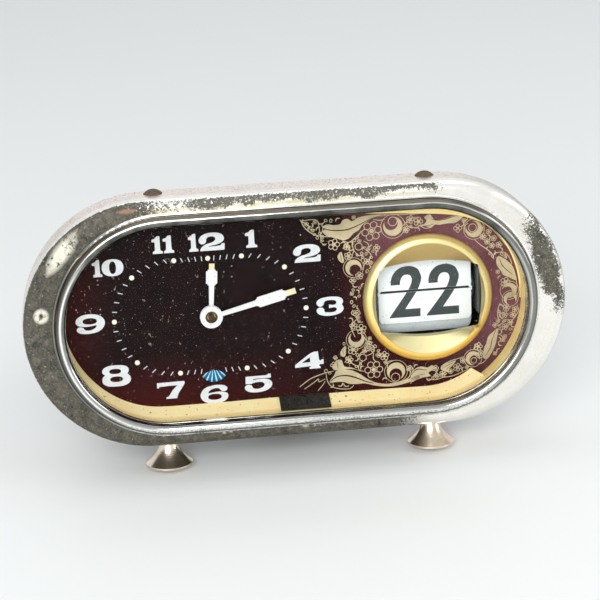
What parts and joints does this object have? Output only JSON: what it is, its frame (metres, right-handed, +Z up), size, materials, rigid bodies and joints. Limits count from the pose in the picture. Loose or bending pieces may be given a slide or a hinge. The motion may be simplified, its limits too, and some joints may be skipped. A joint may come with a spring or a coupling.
{
  "type": "desk clock with calendar",
  "caption": "Low stadium-shaped wind-up desk clock in a chrome case, dial on the left and flip-leaf date window on the right, leaning back on two turned feet and a rear leg.",
  "frame": {"origin": "middle of the bounding box on the table that the feet stand on", "axes": "+X to the right of someone reading the dial, +Y to the back, +Z up"},
  "size_m": [0.181, 0.0616, 0.0953],
  "materials": {
    "chrome_case": "worn and pitted",
    "chrome_ring": "polished, lightly tarnished",
    "glass": "clear",
    "gold_wall": "satin gold",
    "cream_paper": "yellowed",
    "black_tape": "matte",
    "dial_print": "printed, satin",
    "gold_ring": "satin gold",
    "dark_steel": "dark paint, satin",
    "foot_brass": "worn plating",
    "screw_steel": "rusty",
    "steel": "satin",
    "blued_steel": "blued",
    "brass": "satin",
    "white_enamel": "white, satin",
    "indicator_print": "blue print",
    "leaf_card": "matte white",
    "black_plastic": "black, gloss"
  },
  "bodies": {
    "case": {"front_case": "chrome_case", "bezel_ring": "chrome_ring", "front_glass": "glass", "inner_wall": "gold_wall", "liner_strip": "cream_paper", "liner_tape": "black_tape", "dial_plate": "dial_print", "calendar_ring": "gold_ring", "rear_housing": "dark_steel", "rear_cover": "dark_steel", "left_foot": "foot_brass", "right_foot": "foot_brass", "foot_nuts": "steel", "top_screws": "screw_steel", "rear_leg": "dark_steel", "leg_screws": "steel", "cover_screws": "steel", "dial_feet": "brass", "movement_posts": "brass", "front_plate": "brass", "back_plate": "brass", "plate_pillars": "brass", "click_spring": "blued_steel", "hairspring": "blued_steel", "plate_studs": "steel", "calendar_bracket": "dark_steel", "detent_spring": "blued_steel"},
    "minute_work": {"centre_arbor": "steel", "minute_hand": "white_enamel", "hand_set_knob": "brass"},
    "hour_work": {"hour_wheel": "brass", "hour_hand": "white_enamel"},
    "minute_wheel": {"minute_wheel": "brass"},
    "calendar_wheel": {"calendar_wheel": "brass"},
    "calendar_lever": {"calendar_lever": "steel"},
    "date_drum": {"drum_axle": "steel", "drum_discs": "black_plastic", "date_ratchet": "brass", "leaf_stack": "leaf_card", "lower_leaf": "leaf_card"},
    "flip_leaf": {"upper_leaf": "leaf_card"},
    "date_setter": {"calendar_shaft": "steel", "calendar_knob": "brass"},
    "winding_work": {"barrel_arbor": "steel", "ratchet_wheel": "steel", "winding_key": "brass"},
    "click": {"click": "steel"},
    "barrel": {"barrel": "brass", "mainspring": "blued_steel"},
    "centre_wheel": {"centre_wheel": "brass"},
    "third_wheel": {"third_wheel": "brass"},
    "fourth_work": {"fourth_wheel": "brass", "indicator_disc": "indicator_print"},
    "escape_wheel": {"escape_wheel": "brass"},
    "pallet_lever": {"pallet_lever": "steel"},
    "balance": {"balance_wheel": "brass"},
    "regulator": {"regulator": "steel"}
  },
  "joints": [
    {"name": "minute_hand_turn", "type": "hinge", "parent": "case", "child": "minute_work", "pos_m": [-0.0284, -0.01674, 0.05278], "axis": [0, 0.9914, -0.1305], "continuous": true},
    {"name": "hour_hand_turn", "type": "hinge", "parent": "case", "child": "hour_work", "pos_m": [-0.0284, -0.01555, 0.05263], "axis": [0, 0.9914, -0.1305], "continuous": true},
    {"name": "minute_wheel_turn", "type": "hinge", "parent": "case", "child": "minute_wheel", "pos_m": [-0.0284, -0.00714, 0.06362], "axis": [0, 0.9914, -0.1305], "continuous": true},
    {"name": "calendar_wheel_turn", "type": "hinge", "parent": "case", "child": "calendar_wheel", "pos_m": [-0.0134, -0.0087, 0.05173], "axis": [0, 0.9914, -0.1305], "continuous": true},
    {"name": "calendar_lever_swing", "type": "hinge", "parent": "case", "child": "calendar_lever", "pos_m": [0.014, -0.01398, 0.04233], "axis": [0, 0.9914, -0.1305], "range_deg": [0, 8], "stiffness_Nm_per_rad": 0.002},
    {"name": "date_drum_turn", "type": "hinge", "parent": "case", "child": "date_drum", "pos_m": [0.0448, -0.00209, 0.05217], "axis": [1, 0, 0], "continuous": true},
    {"name": "leaf_flip", "type": "hinge", "parent": "date_drum", "child": "flip_leaf", "pos_m": [0.0448, -0.00689, 0.0528], "axis": [1, 0, 0], "range_deg": [0, 179]},
    {"name": "calendar_knob_turn", "type": "hinge", "parent": "case", "child": "date_setter", "pos_m": [0.01715, 0.00594, 0.05111], "axis": [0, 0.9914, -0.1305], "continuous": true},
    {"name": "winding_key_turn", "type": "hinge", "parent": "case", "child": "winding_work", "pos_m": [-0.03415, 0.00783, 0.06547], "axis": [0, 0.9914, -0.1305], "continuous": true},
    {"name": "click_swing", "type": "hinge", "parent": "case", "child": "click", "pos_m": [-0.04435, 0.01056, 0.07237], "axis": [0, 0.9914, -0.1305], "range_deg": [0, 12], "stiffness_Nm_per_rad": 0.002},
    {"name": "fourth_wheel_turn", "type": "hinge", "parent": "case", "child": "fourth_work", "pos_m": [-0.0284, -0.01103, 0.03408], "axis": [0, 0.9914, -0.1305], "continuous": true},
    {"name": "third_wheel_turn", "type": "hinge", "parent": "case", "child": "third_wheel", "pos_m": [-0.0392, -0.00995, 0.04228], "axis": [0, 0.9914, -0.1305], "continuous": true},
    {"name": "centre_wheel_turn", "type": "hinge", "parent": "case", "child": "centre_wheel", "pos_m": [-0.0284, -0.0087, 0.05173], "axis": [0, 0.9914, -0.1305], "continuous": true},
    {"name": "barrel_turn", "type": "hinge", "parent": "case", "child": "barrel", "pos_m": [-0.03415, -0.00664, 0.06738], "axis": [0, 0.9914, -0.1305], "continuous": true},
    {"name": "escape_wheel_turn", "type": "hinge", "parent": "case", "child": "escape_wheel", "pos_m": [-0.01698, -0.01033, 0.03936], "axis": [0, 0.9914, -0.1305], "continuous": true},
    {"name": "balance_swing", "type": "hinge", "parent": "case", "child": "balance", "pos_m": [-0.0079, -0.00337, 0.0601], "axis": [0, 0.9914, -0.1305], "range_deg": [-25, 25], "stiffness_Nm_per_rad": 0.00002},
    {"name": "pallet_swing", "type": "hinge", "parent": "case", "child": "pallet_lever", "pos_m": [-0.01375, -0.00934, 0.04694], "axis": [0, 0.9914, -0.1305], "range_deg": [-4.49, 4.49]},
    {"name": "regulator_swing", "type": "hinge", "parent": "case", "child": "regulator", "pos_m": [-0.0079, 0.00694, 0.05874], "axis": [0, 0.9914, -0.1305], "range_deg": [-18, 18]}
  ],
  "couplings": [
    {"joint": "hour_hand_turn", "follows": "minute_hand_turn", "ratio": 0.083333},
    {"joint": "minute_wheel_turn", "follows": "minute_hand_turn", "ratio": -0.33333},
    {"joint": "calendar_wheel_turn", "follows": "minute_hand_turn", "ratio": -0.041667},
    {"joint": "calendar_knob_turn", "follows": "date_drum_turn", "ratio": -1},
    {"joint": "third_wheel_turn", "follows": "fourth_wheel_turn", "ratio": -0.13333},
    {"joint": "centre_wheel_turn", "follows": "fourth_wheel_turn", "ratio": 0.016667},
    {"joint": "barrel_turn", "follows": "fourth_wheel_turn", "ratio": -0.0027778},
    {"joint": "escape_wheel_turn", "follows": "fourth_wheel_turn", "ratio": -8},
    {"joint": "pallet_swing", "follows": "balance_swing", "ratio": -0.17166}
  ]
}
